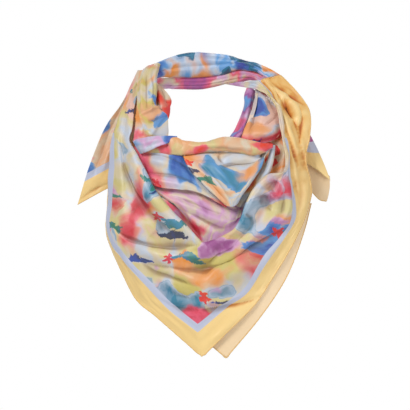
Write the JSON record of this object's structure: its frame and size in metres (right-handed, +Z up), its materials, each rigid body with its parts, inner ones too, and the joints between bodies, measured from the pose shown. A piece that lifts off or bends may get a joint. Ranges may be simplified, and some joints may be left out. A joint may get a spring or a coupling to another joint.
{
  "type": "square scarf worn round the neck",
  "caption": "Square cloth scarf, folded corner to corner and draped round an open neck with its point in front, in a soft painterly print with a plain border.",
  "frame": {"origin": "where the nape carries the scarf: the middle of the neck band's inner face, at the wearer's nape", "axes": "+X toward the right as seen from the front, front faces -Y, +Z up"},
  "size_m": [0.4193, 0.2152, 0.5065],
  "materials": {
    "print": "satin, soft painterly print in cream, blue, ochre and red",
    "border": "satin, plain warm yellow with a pale lavender stripe",
    "reverse": "satin reverse, paler and duller than the face"
  },
  "bodies": {
    "root": {"front_panel": "print", "left_column": "border", "right_column": "border", "back_layer": "reverse", "band_upper_roll": "print", "band_lower_strand": "print", "cowl_roll": "print", "cowl_flap": "print", "cowl_bag": "print", "swag_middle": "print", "swag_lower": "print", "left_collar": "print", "left_neck_fold": "print", "right_pouch": "print", "right_inner_strand": "print", "right_slip": "print", "right_gusset": "print", "left_tail": "border", "right_tail": "border", "right_tail_end": "reverse"}
  },
  "joints": []
}
